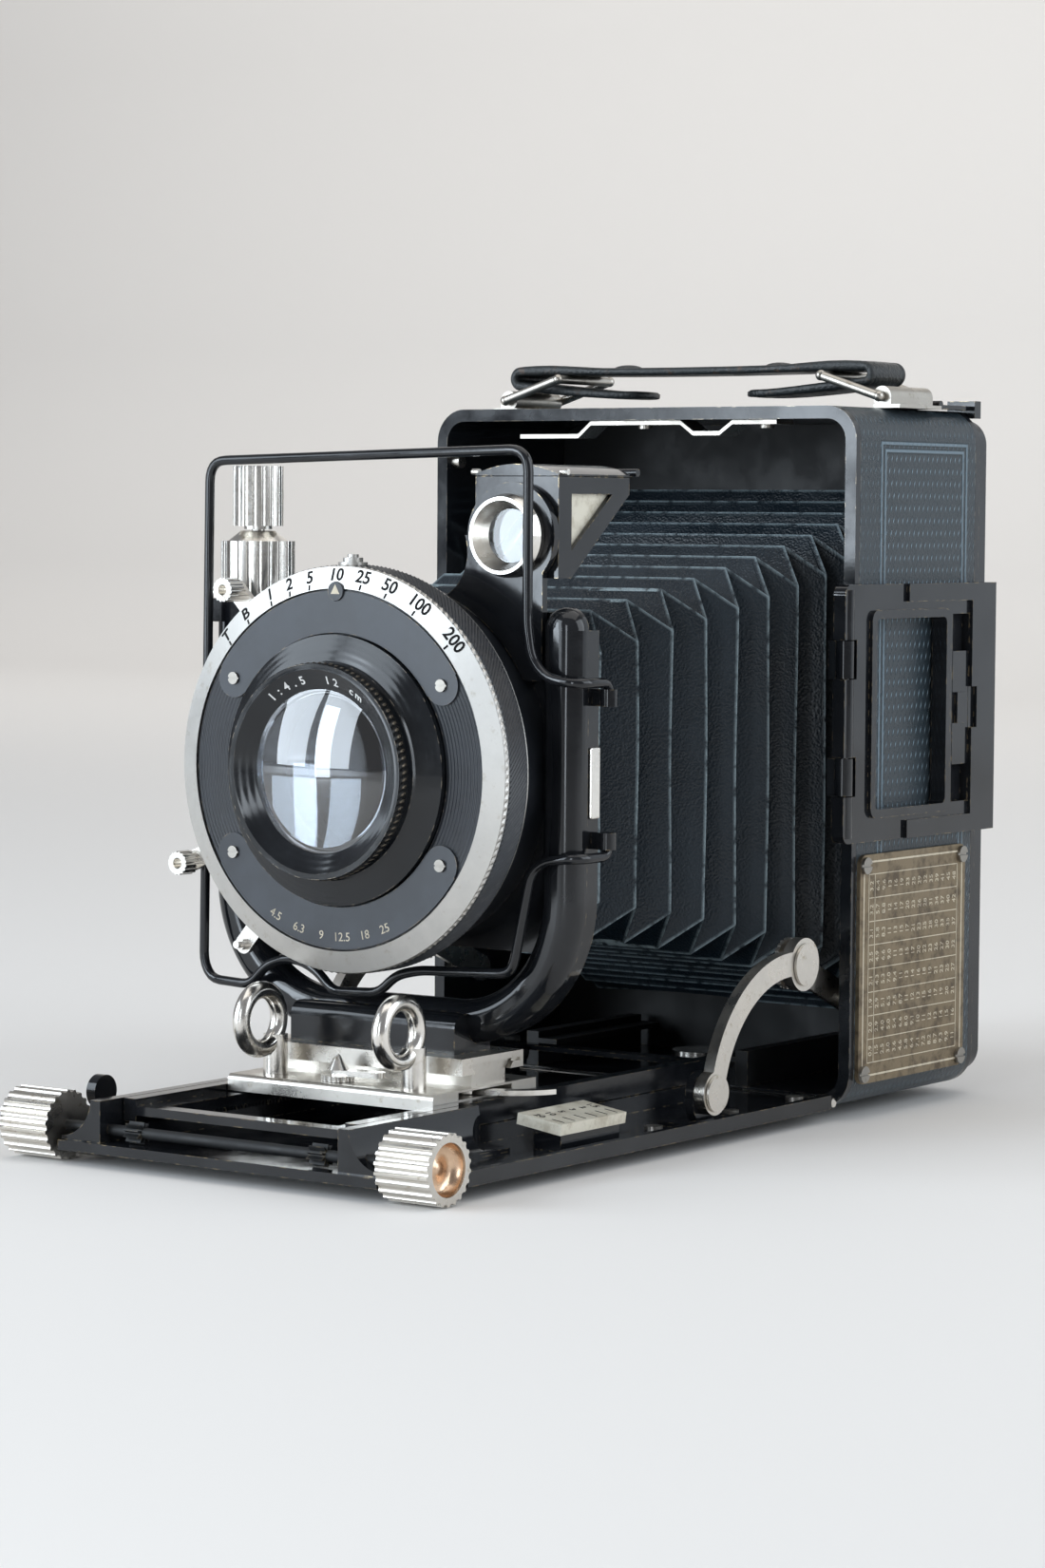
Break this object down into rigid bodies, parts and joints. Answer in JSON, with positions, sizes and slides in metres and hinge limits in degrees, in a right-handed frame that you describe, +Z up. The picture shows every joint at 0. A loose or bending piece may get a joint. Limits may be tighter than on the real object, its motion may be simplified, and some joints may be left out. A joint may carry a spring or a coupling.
{
  "type": "folding plate camera",
  "caption": "Folding plate camera on a drop bed: pleated bellows, sliding lens standard with rise and shift, rim-set shutter, rack focusing, folding finders and a carrying strap.",
  "frame": {"origin": "mouth of the tripod socket in the middle of the body's floor", "axes": "+X to the right seen from the front, +Y from the lens to the back, +Z up"},
  "size_m": [0.1018, 0.187, 0.1443],
  "materials": {
    "black_enamel": "gloss",
    "leather": "satin",
    "nickel": "satin",
    "brass_plate": "satin",
    "ivory": "satin",
    "steel_ring": "satin",
    "shutter_black": "matte",
    "dark_metal": "matte",
    "glass": "gloss",
    "mirror": "gloss"
  },
  "bodies": {
    "body": {"body_shell": "black_enamel", "leather_cover": "leather", "tripod_bushes": "nickel", "bellows_frame": "black_enamel", "body_rails": "black_enamel", "bed_catch": "nickel", "bed_plate": "black_enamel", "bed_hinge_pin": "nickel", "track_guides": "black_enamel", "bed_brackets": "black_enamel", "strut_arms": "nickel", "strut_rivets": "nickel", "distance_scale": "ivory", "strap_lugs": "nickel", "strap_rings": "nickel", "strap_handle": "leather", "table_plate": "brass_plate", "table_screws": "nickel", "sight_hinge": "black_enamel", "back_frame": "black_enamel", "ground_glass": "glass", "bellows": "leather"},
    "track": {"focus_track": "black_enamel"},
    "axle": {"focus_axle": "nickel", "focus_knobs": "nickel"},
    "axle_lock": {"focus_lock": "black_enamel"},
    "standard": {"standard_base": "nickel", "grip_rings": "nickel"},
    "clamp": {"clamp_lever": "nickel"},
    "shift_clamp": {"shift_lock": "nickel"},
    "yoke": {"shift_block": "nickel", "standard_yoke": "black_enamel", "wire_hinge": "black_enamel"},
    "rise_spindle": {"rise_screw": "nickel"},
    "rise_nut": {"rise_collar": "nickel"},
    "front": {"lens_panel": "black_enamel", "finder_neck": "black_enamel", "shutter_case": "shutter_black", "shutter_face": "shutter_black", "face_plates": "shutter_black", "face_screws": "nickel", "lens_barrel": "black_enamel", "front_glass": "glass", "iris_diaphragm": "dark_metal", "rear_cell": "black_enamel", "rear_glass": "glass"},
    "ring": {"speed_ring": "steel_ring"},
    "cocking": {"cocking_lever": "nickel"},
    "release": {"release_lever": "nickel"},
    "aperture": {"aperture_lever": "nickel"},
    "finder": {"finder_body": "black_enamel", "finder_ring": "nickel", "finder_glass": "glass", "finder_mirror": "mirror"},
    "finder_cover": {"finder_lid": "black_enamel"},
    "frame_finder": {"wire_frame": "black_enamel"},
    "sight": {"rear_sight": "black_enamel"},
    "slider": {"sight_slider": "black_enamel"},
    "latch": {"back_latch": "black_enamel"},
    "hood": {"hood_lid": "leather"}
  },
  "joints": [
    {"name": "standard_slide", "type": "slide", "parent": "body", "child": "standard", "axis": [0, -1, 0], "range_m": [0, 0.045], "deforming": ["bellows"]},
    {"name": "focus_slide", "type": "slide", "parent": "body", "child": "track", "axis": [0, -1, 0], "range_m": [0, 0.045]},
    {"name": "focus_turn", "type": "hinge", "parent": "body", "child": "axle", "pos_m": [0, -0.1485, 0.0039], "axis": [1, 0, 0], "range_deg": [0, 1620]},
    {"name": "axle_lock_turn", "type": "hinge", "parent": "body", "child": "axle_lock", "pos_m": [-0.0378, -0.1381, 0.004], "axis": [-1, 0, 0], "range_deg": [0, 40]},
    {"name": "clamp_turn", "type": "hinge", "parent": "standard", "child": "clamp", "pos_m": [0.0185, -0.105, 0.01], "axis": [0, 0, 1], "range_deg": [0, 30]},
    {"name": "shift_lock_turn", "type": "hinge", "parent": "standard", "child": "shift_clamp", "pos_m": [-0.0015, -0.1159, 0.012], "axis": [0, 0, -1], "range_deg": [0, 60]},
    {"name": "shift_slide", "type": "slide", "parent": "standard", "child": "yoke", "axis": [1, 0, 0], "range_m": [-0.003, 0.003]},
    {"name": "rise_slide", "type": "slide", "parent": "yoke", "child": "front", "axis": [0, 0, 1], "range_m": [0, 0.012]},
    {"name": "rise_turn", "type": "hinge", "parent": "yoke", "child": "rise_spindle", "pos_m": [-0.0348, -0.0979, 0.11], "axis": [0, 0, 1], "range_deg": [0, 1080]},
    {"name": "rise_collar_turn", "type": "hinge", "parent": "yoke", "child": "rise_nut", "pos_m": [-0.0348, -0.0979, 0.102], "axis": [0, 0, 1], "range_deg": [0, 90]},
    {"name": "ring_turn", "type": "hinge", "parent": "front", "child": "ring", "pos_m": [0, -0.1135, 0.0668], "axis": [0, -1, 0], "range_deg": [-45, 60]},
    {"name": "cocking_turn", "type": "hinge", "parent": "front", "child": "cocking", "pos_m": [0, -0.1135, 0.0668], "axis": [0, -1, 0], "range_deg": [-35, 0]},
    {"name": "release_turn", "type": "hinge", "parent": "front", "child": "release", "pos_m": [0, -0.1135, 0.0668], "axis": [0, -1, 0], "range_deg": [0, 12], "stiffness_Nm_per_rad": 0.05, "springref_deg": -11.46},
    {"name": "aperture_turn", "type": "hinge", "parent": "front", "child": "aperture", "pos_m": [0, -0.1135, 0.0668], "axis": [0, -1, 0], "range_deg": [0, 58]},
    {"name": "finder_turn", "type": "hinge", "parent": "front", "child": "finder", "pos_m": [0.0258, -0.1005, 0.1084], "axis": [0, 1, 0], "range_deg": [0, 90]},
    {"name": "finder_lid_turn", "type": "hinge", "parent": "finder", "child": "finder_cover", "pos_m": [0.0258, -0.0769, 0.1197], "axis": [-1, 0, 0], "range_deg": [0, 100]},
    {"name": "wire_turn", "type": "hinge", "parent": "yoke", "child": "frame_finder", "pos_m": [0.0438, -0.0975, 0.068], "axis": [0, 0, 1], "range_deg": [0, 180]},
    {"name": "sight_turn", "type": "hinge", "parent": "body", "child": "sight", "pos_m": [0.0509, -0.0299, 0.07525], "axis": [0, 0, 1], "range_deg": [-90, 0]},
    {"name": "slider_slide", "type": "slide", "parent": "sight", "child": "slider", "axis": [0, 0, 1], "range_m": [-0.006, 0.006]},
    {"name": "latch_turn", "type": "hinge", "parent": "body", "child": "latch", "pos_m": [0.0443, 0.0126, 0.134], "axis": [1, 0, 0], "range_deg": [0, 12], "stiffness_Nm_per_rad": 0.2, "springref_deg": -11.46},
    {"name": "hood_turn", "type": "hinge", "parent": "body", "child": "hood", "pos_m": [0, 0.0307, 0.0056], "axis": [-1, 0, 0], "range_deg": [0, 95]}
  ],
  "couplings": [
    {"joint": "focus_slide", "follows": "standard_slide", "ratio": 1},
    {"joint": "focus_turn", "follows": "standard_slide", "rad_per_m": 628.32},
    {"joint": "rise_turn", "follows": "rise_slide", "rad_per_m": 1570.8}
  ]
}
